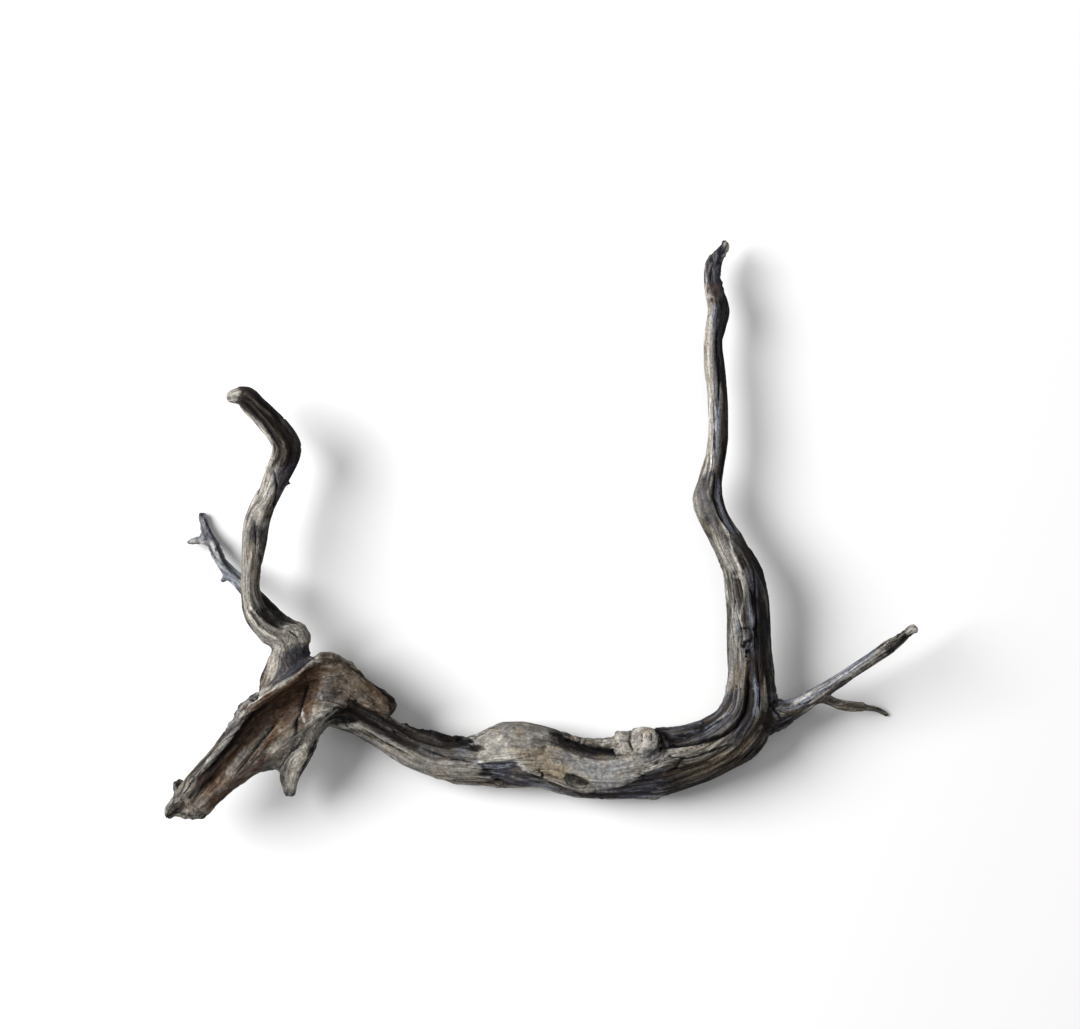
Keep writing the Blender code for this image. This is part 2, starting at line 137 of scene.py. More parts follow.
# Deep checks, slits and sharp ridges seen from above: half width, depth (below 0 it stands up),
# then the points of the line.
CRACKS = [
    # the long check round the elbow, and those beside it
    (2.4, 4.5, [(94, -173), (123, -168), (144, -162), (154, -155), (161, -144), (163, -130), (163, -112)]),
    (1.6, 2.5, [(158, -150), (162, -140), (163, -128)]),
    (1.2, 1.8, [(104, -182), (124, -178), (150, -168)]),
    (1.3, 2.0, [(108, -164), (128, -158), (146, -148)]),
    (1.2, 1.6, [(170, -100), (172, -124), (172, -146)]),
    (1.1, 1.5, [(178, -132), (184, -142), (190, -150)]),
    # the trunk
    (1.3, 1.3, [(-95, -172), (-73, -181), (-50, -185)]),
    (1.2, 1.6, [(-140, -158), (-120, -170), (-100, -180)]),
    (1.6, 2.0, [(-158, -139), (-136, -150), (-114, -164)]),
    # the root plate: groove beside the strut, slits in the lobe, ledges in the hollow
    (1.8, 1.5, [(-180, -121), (-186, -136), (-192, -164)]),
    (1.3, 1.8, [(-150, -106), (-134, -118), (-114, -136)]),
    (0.8, 0.6, [(-164, -112), (-150, -120), (-140, -132)]),
    (2.0, -1.6, [(-212, -156), (-222, -170), (-233, -178), (-244, -192)]),
    (1.4, 1.6, [(-206, -152), (-222, -172), (-238, -194)]),
    (1.4, -1.2, [(-196, -146), (-208, -160), (-220, -178)]),
    (1.3, 1.6, [(-218, -140), (-236, -160), (-258, -190)]),
    (0.9, -1.0, [(-186, -140), (-184, -150)]),
    (1.4, -0.9, [(-204, -122), (-188, -114), (-172, -98)]),
    # the left branch, its knee and lump
    (1.1, 1.6, [(-232, 100), (-214, 82), (-206, 66)]),
    (1.0, 1.4, [(-226, 106), (-206, 88), (-192, 70)]),
    (1.1, 1.8, [(-216, 46), (-219, 36), (-221, 24)]),
    (1.0, 1.5, [(-208, 47), (-205, 32), (-208, 14)]),
    (1.0, 1.0, [(-222, 8), (-221, -8), (-221, -22)]),
    (0.9, 0.7, [(-219, -14), (-217, -30), (-218, -48)]),
    (1.2, -1.0, [(-200, -76), (-190, -79), (-182, -77)]),
    (1.2, -1.0, [(-200, -92), (-190, -89), (-182, -90)]),
    (1.0, 1.2, [(-196, -80), (-188, -86)]),
    # the tall branch
    (1.6, -1.4, [(150, -18), (156, -30), (160, -51), (157, -72), (160, -90)]),
    (1.2, 2.0, [(149, -33), (152, -57), (151, -70)]),
    (1.1, 1.6, [(166, -30), (170, -56), (170, -86)]),
    (0.9, 1.4, [(155, -84), (158, -78), (165, -79), (166, -88), (161, -94), (155, -90)]),
    (0.8, 1.2, [(157, -97), (164, -97), (166, -103), (160, -107)]),
    (1.0, 1.8, [(139, 160), (139, 140), (141, 115), (140, 90)]),
    (1.0, 1.4, [(136, 106), (137, 80), (137, 56)]),
    (1.3, -1.2, [(136, 41), (132, 27), (137, 12), (147, -3), (151, -18)]),
    (1.2, 1.6, [(138, 44), (136, 25), (141, 8), (151, -6)]),
    (1.0, 1.4, [(136, 220), (136, 206), (134, 194)]),
    # slits in the stub
    (0.9, 1.2, [(80, -161), (81, -168)]),
    (0.9, 1.2, [(87, -161), (87, -167)]),
    (1.2, 1.6, [(71, -160), (70, -168), (73, -175)]),
    (1.4, 2.0, [(68, -157), (74, -155), (86, -156), (94, -162), (98, -172)]),
]

# Broken or scaled-off areas seen from above: how far the area stands up (below 0 it is sunk), the
# width of its edge, then its outline.
SHELVES = [
    (-2.2, 1.4, [
        (-48, -185), (-19, -181), (-10, -190), (8, -202), (33, -212), (70, -216), (60, -226), (-20, -226),
        (-34, -200),
    ]),
    (1.2, 1.6, [(-46, -172), (-17, -163), (8, -172), (-19, -183), (-46, -184)]),
    (-0.8, 3.0, [(-62, -168), (-50, -172), (-49, -184), (-60, -184)]),
    (1.4, 2.0, [(19, -161), (36, -165), (56, -169), (56, -175), (35, -171), (18, -168)]),
    (-1.6, 1.4, [(152, -41), (158, -41), (158, -64), (152, -64)]),
    (-1.3, 1.2, [(272, -83), (290, -85), (290, -96), (274, -96)]),
    (0.9, 1.2, [(284, -76), (297, -73), (298, -80), (286, -83)]),
    (-1.2, 1.2, [(-118, -134), (-108, -136), (-108, -150), (-116, -149)]),
    (1.2, 1.2, [(144, 228), (150, 226), (150, 214), (144, 214)]),
    (1.1, 1.5, [(-200, -76), (-180, -76), (-180, -90), (-200, -91)]),
    (-1.6, 1.4, [
        (76, -198), (81, -192), (85, -187), (92, -184), (97, -188), (94, -201), (87, -213), (71, -216),
        (44, -214), (35, -208), (62, -206), (73, -202),
    ]),
    (1.6, 3.0, [(74, -158), (84, -155), (92, -160), (93, -170), (86, -177), (76, -174), (72, -166)]),
]

# Areas worn smooth, seen from above: how smooth, from 0 to 1, and the outline.
CALM = [
    (0.75, [
        (-50, -162), (-34, -150), (-14, -145), (6, -152), (14, -162), (62, -178), (89, -185), (73, -197),
        (44, -207), (-19, -184), (-48, -184),
    ]),
    (0.9, [(56, -152), (92, -152), (96, -184), (60, -182)]),
    (0.5, [
        (-44, -185), (-19, -181), (8, -202), (33, -211), (62, -213), (89, -213), (80, -222), (-26, -208),
    ]),
    (0.6, [
        (-250, -180), (-206, -120), (-168, -94), (-140, -96), (-112, -136), (-160, -134), (-200, -190),
        (-270, -218),
    ]),
    (0.6, [(-176, -136), (-162, -142), (-186, -210), (-204, -204)]),
    (0.55, [(-240, 6), (-226, 34), (-212, 56), (-200, 44), (-206, 0), (-214, -46), (-236, -50)]),
    (0.5, [(-202, -74), (-180, -74), (-178, -104), (-214, -126), (-214, -96)]),
    (0.25, [(116, 48), (140, 48), (146, 12), (160, -12), (150, -34), (118, 10)]),
    (0.6, [(-130, -160), (-100, -166), (-50, -178), (-44, -204), (-120, -192), (-140, -176)]),
    (0.5, [(126, 50), (124, 110), (128, 190), (136, 190), (139, 140), (137, 60)]),
]

# Crumbled, knotty or granular areas seen from above: height of the roughness, size of its grains, then
# the outline.
CRUMBLED = [
    (2.2, 4.0, [(-222, -122), (-213, -131), (-236, -160), (-246, -158), (-238, -136)]),
    (1.0, 3.0, [(-228, -136), (-222, -146), (-262, -200), (-272, -196)]),
    (1.0, 3.5, [(-285, -196), (-276, -198), (-284, -226), (-296, -226)]),
    (2.4, 5.0, [(-108, -149), (-86, -153), (-56, -163), (-54, -171), (-84, -167), (-108, -160)]),
    (0.6, 2.6, [
        (-46, -160), (-17, -156), (8, -166), (62, -178), (89, -185), (73, -197), (44, -207), (-19, -184),
    ]),
    (0.3, 3.0, [(58, -154), (90, -154), (94, -176), (60, -180)]),
    (1.8, 3.4, [(20, -159), (60, -163), (66, -170), (60, -173), (40, -171), (24, -167)]),
    (2.2, 4.5, [(154, -74), (167, -74), (168, -102), (156, -104)]),
    (1.1, 4.0, [(148, -22), (160, -20), (162, -66), (150, -66)]),
    (1.2, 3.0, [(129, 192), (130, 222), (142, 230), (152, 226), (146, 176), (132, 176)]),
    (0.8, 3.6, [(-176, -96), (-140, -98), (-112, -136), (-120, -152), (-160, -132)]),
    (0.8, 3.4, [(-174, -136), (-162, -140), (-190, -192), (-202, -188)]),
    (1.0, 3.5, [(-252, 108), (-236, 114), (-230, 100), (-248, 92)]),
    (0.7, 3.0, [(-200, -76), (-182, -76), (-182, -100), (-198, -100)]),
    (1.1, 2.8, [(-290, -22), (-244, -26), (-262, 18), (-284, 18)]),
    (0.9, 2.6, [(262, -82), (294, -72), (298, -84), (268, -100)]),
]

# Stained or bleached areas, and painted shade and highlight, seen from above: colour, strength, width of
# the edge, lowest and highest z, then the outline.
PATCHES = [
    # the root plate's hollow
    ("brown", 0.95, 4.0, 0, 80, [
        (-222, -134), (-165, -104), (-172, -136), (-196, -176), (-262, -224), (-284, -218), (-262, -186),
    ]),
    # painted shade inside the hollow, just below its left rim
    ("umber", 0.45, 4.0, 0, 64, [(-238, -152), (-218, -144), (-232, -176), (-262, -206), (-274, -204)]),
    ("pale", 0.3, 5.0, 0, 80, [(-216, -160), (-206, -158), (-226, -186), (-250, -206), (-244, -192)]),
    ("tan", 0.8, 4.0, 0, 80, [(-204, -146), (-190, -160), (-196, -176), (-216, -188), (-210, -170)]),
    ("pale", 0.45, 6.0, 0, 90, [
        (-292, -222), (-286, -200), (-272, -196), (-256, -208), (-262, -226), (-278, -231),
    ]),
    ("black", 0.8, 3.0, 0, 90, [(-174, -95), (-160, -96), (-162, -104), (-174, -104)]),
    # the lobe beside it
    ("tan", 0.85, 5.0, 30, 90, [(-164, -98), (-130, -106), (-110, -138), (-126, -150), (-160, -134)]),
    ("grey", 0.7, 5.0, 30, 90, [(-168, -116), (-150, -112), (-136, -130), (-150, -140), (-168, -134)]),
    ("brown", 0.6, 4.0, 30, 90, [(-144, -110), (-128, -120), (-112, -134), (-118, -140), (-136, -126)]),
    ("brown", 0.4, 6.0, 30, 90, [
        (-168, -98), (-130, -104), (-108, -136), (-112, -152), (-150, -140), (-166, -128),
    ]),
    # painted shade under the lobe's tip, where it overhangs the trunk
    ("black", 0.85, 3.0, 0, 90, [(-120, -130), (-108, -134), (-106, -152), (-117, -150)]),
    # under the arch: black painted shade
    ("black", 0.95, 4.0, 0, 58, [
        (-174, -160), (-168, -138), (-146, -136), (-130, -146), (-150, -158), (-162, -172),
    ]),
    # the strut and the spur
    ("pale", 0.95, 4.0, 20, 90, [
        (-174, -136), (-162, -142), (-180, -176), (-190, -208), (-202, -208), (-196, -176),
    ]),
    ("tan", 0.3, 4.0, 20, 90, [(-198, -176), (-184, -180), (-190, -202), (-202, -204)]),
    ("pale", 0.5, 5.0, 20, 90, [
        (-189, -138), (-196, -150), (-204, -160), (-212, -170), (-210, -184), (-204, -190), (-184, -156),
    ]),
    ("cream", 0.35, 4.0, 20, 90, [
        (-166, -146), (-184, -176), (-192, -206), (-200, -206), (-192, -180), (-176, -152),
    ]),
    ("slate", 0.7, 2.0, 20, 60, [(-202, -204), (-190, -204), (-192, -216), (-202, -216)]),
    # the left branch
    # painted shade on the head's right side, in umber and black
    ("umber", 0.95, 4.0, 30, 90, [
        (-234, 112), (-218, 108), (-182, 76), (-182, 58), (-192, 40), (-203, 50), (-207, 66), (-218, 86),
        (-234, 98),
    ]),
    ("black", 0.8, 4.0, 30, 90, [
        (-224, 110), (-206, 96), (-182, 72), (-186, 54), (-196, 50), (-198, 66), (-210, 84),
    ]),
    ("pale", 0.9, 3.0, 40, 90, [(-252, 106), (-240, 114), (-234, 106), (-238, 97), (-250, 94)]),
    # bleached wood, with painted highlight on the lit left side
    ("cream", 0.75, 3.0, 40, 90, [(-214, 52), (-208, 30), (-215, 6), (-230, -2), (-224, 26)]),
    ("slate", 0.8, 4.0, 30, 90, [(-204, 50), (-188, 50), (-194, 20), (-206, 0), (-211, 8), (-207, 28)]),
    # bleached wood, with painted highlight on the lit left side
    ("pale", 0.75, 3.0, 40, 90, [(-234, 6), (-228, 6), (-226, -42), (-222, -70), (-236, -74), (-238, -40)]),
    # painted shade down the right side of the branch
    ("umber", 0.8, 4.0, 30, 90, [(-219, 2), (-207, 0), (-210, -30), (-204, -66), (-216, -66), (-219, -34)]),
    ("slate", 0.8, 2.5, 40, 90, [(-227, 9), (-220, 9), (-219, -8), (-225, -8)]),
    # painted shade right of the branch, above the knee
    ("black", 0.8, 4.0, 20, 90, [
        (-217, -51), (-206, -58), (-197, -66), (-189, -76), (-201, -80), (-210, -75), (-217, -66),
    ]),
    # the knee, the lump on it and the collar
    ("pale", 0.6, 4.0, 30, 90, [
        (-230, -60), (-216, -74), (-180, -74), (-180, -94), (-206, -96), (-222, -84),
    ]),
    ("pale", 0.5, 3.0, 40, 90, [(-201, -75), (-180, -76), (-181, -90), (-200, -90)]),
    ("slate", 0.9, 3.0, 20, 90, [
        (-199, -96), (-182, -90), (-170, -94), (-175, -99), (-189, -113), (-204, -122), (-212, -126),
        (-205, -112),
    ]),
    ("cream", 0.6, 3.0, 40, 90, [(-208, -88), (-203, -90), (-203, -108), (-209, -120), (-212, -112)]),
    # the left twig
    ("silver", 0.75, 3.0, 0, 44, [(-232, -30), (-224, -52), (-292, -26), (-290, 22), (-258, 22)]),
    # painted shade where the twig runs under the left branch
    ("umber", 0.8, 3.0, 0, 50, [(-214, -46), (-200, -62), (-212, -70), (-226, -56)]),
    # the trunk between the root plate and the middle lump
    ("slate", 0.6, 3.0, 0, 90, [(-136, -146), (-122, -154), (-102, -170), (-108, -178), (-134, -160)]),
    ("pale", 0.7, 5.0, 0, 90, [
        (-130, -168), (-82, -181), (-50, -186), (-37, -193), (-46, -202), (-86, -198), (-128, -180),
    ]),
    ("grey", 0.85, 5.0, 0, 90, [(-100, -160), (-60, -172), (-52, -184), (-76, -180), (-104, -168)]),
    ("silver", 0.35, 5.0, 0, 90, [(-66, -168), (-50, -170), (-49, -186), (-62, -184)]),
    # the middle lump
    ("pale", 0.75, 4.0, 20, 90, [
        (-52, -162), (-34, -150), (-14, -145), (6, -152), (12, -160), (10, -172), (-24, -172), (-48, -176),
    ]),
    ("pale", 0.95, 5.0, 20, 90, [
        (-46, -170), (-17, -163), (8, -170), (26, -178), (62, -182), (76, -178), (89, -185), (73, -197),
        (44, -207), (26, -204), (-6, -195), (-19, -183), (-46, -183),
    ]),
    ("cream", 0.6, 4.0, 20, 90, [(-43, -168), (-24, -166), (-16, -180), (-44, -182)]),
    ("ochre", 0.75, 6.0, 20, 90, [(-21, -172), (6, -174), (24, -188), (18, -200), (-4, -194), (-16, -182)]),
    ("silver", 0.4, 8.0, 20, 90, [(10, -176), (40, -184), (70, -184), (76, -196), (50, -206), (28, -190)]),
    ("grey", 0.5, 6.0, 20, 90, [(-36, -152), (-12, -147), (4, -154), (-4, -162), (-30, -162)]),
    ("slate", 0.95, 2.5, 0, 90, [
        (-49, -185), (-19, -181), (-10, -190), (8, -202), (33, -211), (62, -213), (89, -213), (80, -218),
        (30, -220), (-6, -211), (-26, -207), (-36, -200),
    ]),
    ("pale", 0.75, 2.0, 0, 90, [(26, -160), (62, -163), (62, -172), (36, -170), (26, -166)]),
    # painted shade: black in the slot
    ("black", 1.0, 1.5, 0, 90, [
        (6, -158), (14, -161), (24, -167), (36, -172.5), (62, -174.5), (69, -177), (62, -179), (38, -179),
        (24, -171), (8, -163),
    ]),
    ("black", 1.0, 1.5, 0, 38, [(14, -163), (30, -169), (64, -174), (68, -180), (38, -180), (18, -172)]),
    # painted shade in the hole under the overhang
    ("umber", 1.0, 1.0, 0, 90, [(25, -192), (29, -193), (36, -197), (39, -201), (35, -204), (28, -201)]),
    # the stub
    ("cream", 0.85, 3.0, 36, 90, [
        (58, -158), (72, -156), (84, -154), (92, -162), (90, -172), (72, -176), (58, -174),
    ]),
    ("silver", 0.5, 4.0, 20, 90, [(80, -175), (92, -174), (91, -182), (82, -181)]),
    ("slate", 0.95, 2.0, 0, 90, [
        (76, -198), (81, -192), (85, -187), (92, -184), (98, -188), (96, -201), (88, -213), (71, -216),
        (44, -214), (35, -208), (62, -206), (73, -202),
    ]),
    ("slate", 0.7, 4.0, 0, 90, [
        (94, -158), (110, -158), (128, -148), (140, -136), (156, -124), (160, -146), (140, -164),
        (98, -174),
    ]),
    # painted shade beside the stub's right side
    ("black", 0.8, 3.0, 0, 90, [(92, -158), (100, -160), (106, -170), (96, -176)]),
    # the elbow
    ("umber", 0.75, 6.0, 0, 90, [
        (98, -182), (150, -166), (180, -150), (190, -180), (140, -216), (98, -212),
    ]),
    ("ochre", 0.2, 5.0, 0, 90, [(106, -186), (150, -172), (170, -164), (160, -186), (112, -200)]),
    # painted shade on the elbow's lower outer side
    ("black", 0.7, 5.0, 0, 90, [
        (98, -196), (140, -196), (170, -176), (186, -150), (200, -180), (140, -222), (96, -222),
    ]),
    ("tan", 0.85, 3.0, 0, 90, [(149, -106), (157, -108), (157, -127), (150, -127)]),
    # painted shade down the tall branch's right side, at its foot
    ("black", 0.85, 4.0, 0, 90, [(174, -28), (190, -40), (190, -130), (176, -136)]),
    ("black", 0.5, 4.0, 0, 90, [(164, -76), (178, -76), (178, -140), (168, -140)]),
    # the tall branch, from its foot to its tip
    ("pale", 0.6, 3.0, 30, 90, [(132, 2), (144, 4), (150, -30), (149, -108), (140, -108), (140, -30)]),
    ("pale", 0.55, 3.0, 30, 90, [(148, 0), (158, -6), (162, -30), (166, -56), (160, -72), (150, -70)]),
    ("umber", 0.85, 2.5, 20, 90, [
        (151, -6), (159, -2), (172, -24), (178, -42), (165, -37), (156, -29), (151, -16),
    ]),
    # painted shade on the tall branch's right side
    ("black", 0.9, 3.0, 20, 90, [(160, 0), (180, -20), (182, -50), (172, -40), (166, -20)]),
    ("umber", 0.9, 3.0, 30, 90, [(152, -40), (158, -40), (158, -65), (152, -65)]),
    ("slate", 0.7, 4.0, 20, 90, [(161, -31), (172, -36), (176, -110), (165, -110)]),
    # bleached wood, with painted highlight on the lit left side
    ("cream", 0.75, 2.5, 10, 90, [
        (129, 186), (134, 186), (138, 110), (138, 50), (131, 40), (124, 44), (124, 110),
    ]),
    ("pale", 0.6, 3.0, 20, 90, [(118, 34), (126, 34), (131, 12), (122, 4)]),
    ("slate", 0.7, 2.5, 20, 90, [
        (122, 30), (127, 44), (137, 47), (144, 18), (155, -3), (160, -20), (147, -15), (135, 2), (125, 14),
    ]),
    ("silver", 0.7, 2.5, 20, 90, [(136, 176), (142, 176), (142, 110), (140, 50), (136, 50), (137, 110)]),
    # painted shade on the tall branch's upper right side
    ("black", 1.0, 1.5, 0, 90, [
        (143, 190), (140, 172), (137, 147), (137, 127), (141, 114), (145, 102), (154, 104), (154, 190),
    ]),
    # painted shade on the tall branch's right side, lower down
    ("umber", 0.85, 3.0, 0, 90, [(143, 112), (152, 110), (150, 50), (154, 8), (142, 10), (140, 40)]),
    ("slate", 0.95, 2.0, 0, 90, [(128, 220), (144, 232), (152, 210), (144, 180), (132, 186)]),
    ("brown", 0.4, 3.0, 0, 90, [(132, 192), (142, 192), (142, 178), (132, 178)]),
    ("cream", 0.7, 1.0, 0, 90, [(145, 225), (149, 225), (148, 215), (145, 215)]),
    # the right branch and its twig
    ("silver", 0.75, 3.0, 30, 90, [
        (180, -130), (206, -122), (238, -100), (262, -84), (262, -96), (238, -116), (206, -138),
        (184, -146),
    ]),
    ("slate", 0.8, 3.0, 0, 90, [
        (180, -152), (206, -146), (240, -127), (268, -106), (266, -116), (238, -136), (200, -162),
        (180, -164),
    ]),
    # painted shade in the crotch between the tall branch and the right branch
    ("black", 0.6, 3.0, 0, 90, [(176, -132), (190, -128), (192, -140), (178, -160), (172, -150)]),
    ("black", 0.95, 1.5, 0, 90, [(268, -93), (280, -87), (291, -82), (293, -88), (284, -96), (272, -99)]),
    ("cream", 0.7, 1.5, 0, 90, [(284, -77), (293, -74), (297, -80), (286, -83)]),
    ("tan", 0.6, 3.0, 0, 42, [(218, -130), (240, -134), (284, -142), (284, -156), (240, -146)]),
]

# Narrow stains, and narrow painted shade and highlight, seen from above: colour, strength, half width,
# lowest and highest z, then the line.
STREAKS = [
    # the root plate
    ("slate", 0.5, 5.0, 0, 90, [(-216, -122), (-236, -140), (-248, -164)]),
    ("pale", 0.95, 2.2, 0, 90, [
        (-171, -98), (-189, -114), (-202, -122), (-215, -128), (-226, -140), (-240, -160), (-259, -184),
        (-279, -208), (-288, -221),
    ]),
    ("cream", 0.5, 1.2, 0, 90, [(-190, -115), (-202, -122), (-215, -127), (-226, -138)]),
    ("slate", 0.6, 2.6, 0, 90, [(-232, -148), (-250, -174), (-266, -196)]),
    # painted shadow that the rim casts into the hollow
    ("black", 0.85, 2.8, 30, 90, [(-212, -136), (-226, -150), (-243, -172), (-259, -194), (-273, -209)]),
    ("pale", 0.55, 2.6, 0, 90, [(-212, -156), (-222, -170), (-233, -178), (-244, -192)]),
    ("umber", 0.6, 2.4, 0, 90, [(-206, -150), (-222, -171), (-238, -192)]),
    ("brown", 0.8, 4.0, 0, 90, [(-206, -134), (-190, -118), (-174, -106)]),
    ("umber", 0.5, 2.4, 0, 90, [(-181, -120), (-186, -136), (-193, -164)]),
    ("cream", 0.8, 0.9, 0, 90, [(-186, -140), (-184, -150)]),
    ("pale", 0.7, 2.4, 20, 90, [(-158, -138), (-170, -143), (-180, -162), (-184, -178)]),
    # painted shade along the spur's right side
    ("black", 0.9, 1.2, 0, 90, [(-176, -166), (-181, -178), (-191, -205)]),
    ("black", 0.9, 1.6, 0, 90, [(-279, -228), (-266, -229), (-258, -224)]),
    ("black", 0.8, 2.0, 0, 90, [(-284, -196), (-282, -202)]),
    ("pale", 0.7, 1.8, 0, 90, [(-160, -98), (-150, -101), (-140, -110)]),
    ("umber", 0.8, 2.0, 30, 90, [(-142, -112), (-128, -122), (-113, -136)]),
    ("tan", 0.5, 2.5, 30, 90, [(-170, -112), (-150, -122), (-132, -138)]),
    # the trunk
    # painted shade in the groove under the lobe
    ("umber", 0.9, 3.2, 0, 90, [(-158, -139), (-136, -150), (-114, -164), (-96, -172)]),
    ("pale", 0.8, 1.8, 0, 90, [(-167, -156), (-144, -155), (-114, -171), (-90, -183)]),
    ("black", 1.0, 5.5, 0, 90, [(-106, -153), (-89, -158), (-73, -166), (-57, -168)]),
    ("tan", 0.6, 0.8, 0, 90, [(-100, -153), (-84, -157), (-66, -164)]),
    ("pale", 0.8, 1.4, 0, 90, [(-48, -184), (-48, -176), (-36, -169)]),
    ("cream", 0.8, 1.2, 0, 90, [(-48, -184), (-20, -180), (-8, -194)]),
    # painted shade on the step down to the sunk shelf
    ("black", 0.8, 1.4, 0, 90, [(-12, -192), (8, -203), (33, -212)]),
    ("cream", 0.6, 1.5, 0, 90, [(-48, -178), (-40, -170), (-30, -164)]),
    ("silver", 0.75, 1.5, 0, 90, [(-46, -187), (-34, -190), (-24, -186)]),
    ("silver", 0.6, 1.2, 0, 90, [(-38, -194), (-24, -196), (-10, -202), (10, -208)]),
    ("pale", 0.6, 1.0, 0, 90, [(-14, -195), (6, -204), (24, -210)]),
    ("silver", 0.5, 1.2, 0, 90, [(44, -211), (62, -211), (78, -207), (88, -200)]),
    ("grey", 0.6, 1.0, 0, 90, [(-20, -189), (-8, -198), (14, -209)]),
        ("cream", 0.7, 1.4, 20, 90, [(64, -182), (76, -178), (84, -177)]),
    ("cream", 0.7, 1.0, 20, 90, [(72, -201), (80, -193), (85, -188), (91, -185)]),
    # painted shade in the stub's slit and in the groove round it
    ("umber", 0.8, 1.2, 20, 90, [(71, -158), (70, -168), (73, -176)]),
    ("black", 0.95, 1.8, 20, 90, [(72, -157), (80, -154), (88, -156), (95, -162), (99, -172)]),
    # the elbow
    # painted shade in the elbow's long check
    ("black", 0.95, 1.4, 0, 90, [
        (94, -173), (123, -168), (144, -162), (154, -155), (161, -144), (163, -130), (163, -114),
    ]),
    ("black", 0.9, 2.2, 0, 90, [(154, -155), (161, -144), (163, -128)]),
    ("silver", 0.7, 1.8, 0, 90, [(112, -164), (132, -156), (148, -145)]),
    ("pale", 0.6, 1.6, 0, 90, [(104, -156), (128, -146), (144, -130)]),
    ("pale", 0.7, 1.4, 0, 90, [(92, -186), (104, -180), (124, -176), (146, -168)]),
    ("tan", 0.7, 1.6, 0, 90, [(110, -188), (136, -180), (160, -166)]),
    ("silver", 0.7, 1.8, 0, 90, [(168, -146), (170, -130), (166, -108)]),
    ("pale", 0.5, 1.4, 20, 90, [(184, -142), (198, -138), (214, -129)]),
    ("black", 0.7, 1.0, 20, 90, [(178, -150), (196, -146), (212, -137)]),
    # the tall branch
    ("cream", 0.45, 1.6, 30, 90, [(149, -17), (156, -30), (160, -51), (157, -72), (160, -90)]),
    ("silver", 0.6, 1.6, 30, 90, [(163, -60), (167, -84), (166, -104)]),
    ("pale", 0.8, 1.5, 0, 90, [(136, 41), (132, 27), (137, 12), (147, -3), (151, -18)]),
    ("silver", 0.8, 1.2, 0, 90, [(141, 38), (140, 22), (145, 8), (151, -3)]),
    ("grey", 0.8, 0.7, 0, 90, [(133, 217), (134, 202), (138, 192)]),
    ("grey", 0.8, 0.7, 0, 90, [(140, 224), (138, 208), (142, 197)]),
    ("grey", 0.7, 0.7, 0, 90, [(146, 222), (144, 212), (146, 204)]),
    ("cream", 0.7, 1.4, 0, 90, [(130, 183), (131, 195), (129, 208)]),
    ("pale", 0.5, 0.9, 0, 90, [(137, 222), (136, 208), (137, 196)]),
    # the left branch and its twig
    # bleached wood, with painted highlight along the branch's lit left side
    ("cream", 0.85, 2.6, 30, 90, [(-240, 97), (-218, 79), (-211, 66), (-211, 54), (-216, 43)]),
    ("tan", 0.6, 1.2, 30, 90, [(-230, 106), (-210, 88), (-200, 68), (-204, 48)]),
    ("cream", 0.7, 1.0, 30, 90, [(-224, -14), (-226, -34)]),
    ("cream", 0.8, 0.9, 30, 90, [(-230, -62), (-220, -77), (-206, -86)]),
    ("cream", 0.8, 0.9, 30, 90, [(-226, -60), (-216, -73), (-203, -81)]),
    ("black", 0.8, 0.9, 30, 90, [(-228, -61), (-218, -75), (-205, -83)]),
    ("black", 0.8, 0.8, 30, 90, [(-222, -62), (-213, -71), (-204, -77)]),
    # painted shade along the branch's right edge
    ("black", 0.85, 1.5, 30, 90, [(-210, 6), (-214, -20), (-215, -44)]),
    # painted shade along the twig's right side
    ("black", 0.85, 1.2, 0, 44, [(-268, 8), (-264, 0), (-258, -11), (-252, -24), (-245, -34), (-236, -41)]),
    # bleached wood, with painted highlight on the twig's lit left side
    ("cream", 0.4, 1.2, 0, 44, [(-271, 5), (-267, -5), (-260, -17), (-253, -28)]),
    ("cream", 0.4, 1.1, 0, 44, [(-279, -11), (-268, -9)]),
    ("slate", 0.7, 1.6, 0, 44, [(-271, 8), (-268, -2), (-262, -10)]),
    ("slate", 0.8, 0.8, 0, 44, [(-270, -1), (-263, -14), (-256, -27)]),
    ("black", 0.9, 2.4, 0, 44, [(-272, 16), (-270, 9)]),
    ("black", 0.9, 1.8, 0, 44, [(-286, -12), (-281, -12)]),
    # the right branch and its low twig
    ("silver", 0.6, 1.6, 30, 90, [(206, -137), (234, -119), (262, -100)]),
    ("cream", 0.7, 0.8, 30, 90, [(200, -138), (234, -117), (258, -101), (276, -88)]),
    ("slate", 0.85, 1.2, 30, 90, [(206, -143), (236, -124), (260, -107)]),
    ("black", 0.7, 0.7, 30, 90, [(204, -130), (230, -114), (250, -100)]),
    ("pale", 0.6, 1.4, 0, 60, [(222, -131), (246, -137), (270, -143)]),
]


# ---- numbers over the whole skin

def linear(code):
    """sRGB hex value to linear red, green and blue."""
    parts = np.array([int(code[i:i + 2], 16) for i in (1, 3, 5)]) / 255
    return np.where(parts <= 0.04045, parts / 12.92, ((parts + 0.055) / 1.055) ** 2.4)


def ease(x):
    """0 below 0, 1 above 1, and a smooth step between."""
    x = np.clip(x, 0, 1)
    return x * x * (3 - 2 * x)


def corner_value(cell, seed):
    """A repeatable random number from -1 to 1 for each corner of a lattice."""
    cell = cell.astype(np.int64).astype(np.uint64)
    h = cell[..., 0] * np.uint64(0x9E3779B1) + cell[..., 1] * np.uint64(0x85EBCA77)
    h = h + cell[..., 2] * np.uint64(0xC2B2AE3D) + np.uint64(seed) * np.uint64(0x27D4EB2F)
    h = (h ^ (h >> np.uint64(15))) * np.uint64(0x2C1B3C6D)
    h = (h ^ (h >> np.uint64(12))) * np.uint64(0x297A2D39)
    h = (h ^ (h >> np.uint64(15))) & np.uint64(0xFFFFFF)
    return h.astype(float) / 0x7FFFFF - 1


